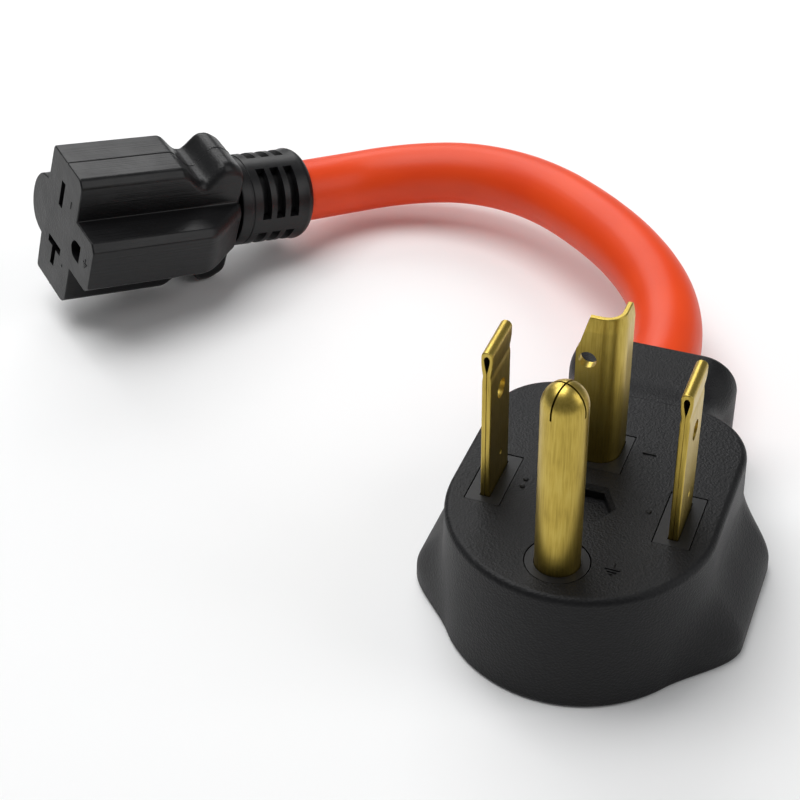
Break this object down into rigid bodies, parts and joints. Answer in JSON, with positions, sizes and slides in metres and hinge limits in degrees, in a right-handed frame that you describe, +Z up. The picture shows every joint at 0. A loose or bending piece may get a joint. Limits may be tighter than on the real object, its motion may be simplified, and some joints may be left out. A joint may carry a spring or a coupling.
{
  "type": "power adapter cable",
  "caption": "Short dogbone adapter: right-angle plug with straight, L-shaped and round prongs, thick round cable, in-line connector with straight, T and U slots.",
  "frame": {"origin": "on the table, at the plug's flat back, midway between the two straight blades", "axes": "+Z up along the blades, +Y from the earth pin to the cable's exit, +X from the Y blade to the X blade"},
  "size_m": [0.2057, 0.1776, 0.0728],
  "materials": {
    "charcoal_moulding": "fine-grained charcoal soft vinyl moulding",
    "grey_moulding": "dark grey rigid moulding",
    "brass": "bright stamped brass",
    "orange_jacket": "smooth satin orange vinyl",
    "black_insulation": "satin vinyl insulation",
    "white_insulation": "satin vinyl insulation",
    "green_insulation": "satin vinyl insulation",
    "copper": "bare stranded copper",
    "paper_filler": "twisted paper cord",
    "black_moulding": "semi-gloss black vinyl moulding",
    "brown_moulding": "rigid thermoset moulding"
  },
  "bodies": {
    "plug": {"plug_housing": "charcoal_moulding", "blade_bridge": "grey_moulding", "blade_x": "brass", "blade_y": "brass", "neutral_blade": "brass", "ground_pin": "brass", "cable_jacket": "orange_jacket", "black_insulation": "black_insulation", "white_insulation": "white_insulation", "green_insulation": "green_insulation", "black_copper": "copper", "white_copper": "copper", "green_copper": "copper", "cable_filler_1": "paper_filler", "cable_filler_2": "paper_filler", "cable_filler_3": "paper_filler"},
    "connector": {"connector_housing": "black_moulding", "contact_carrier": "brown_moulding", "straight_slot_contact": "brass", "tee_slot_contact": "brass", "ground_slot_contact": "brass", "strain_relief": "black_moulding"}
  },
  "joints": [
    {"name": "cable_flex", "type": "hinge", "parent": "plug", "child": "connector", "pos_m": [-0.0552, 0.1338, 0.0168], "axis": [0, 0, 1], "range_deg": [-20, 20], "stiffness_Nm_per_rad": 0.8, "deforming": ["cable_jacket", "black_insulation", "white_insulation", "green_insulation", "black_copper", "white_copper", "green_copper", "cable_filler_1", "cable_filler_2", "cable_filler_3"]}
  ]
}
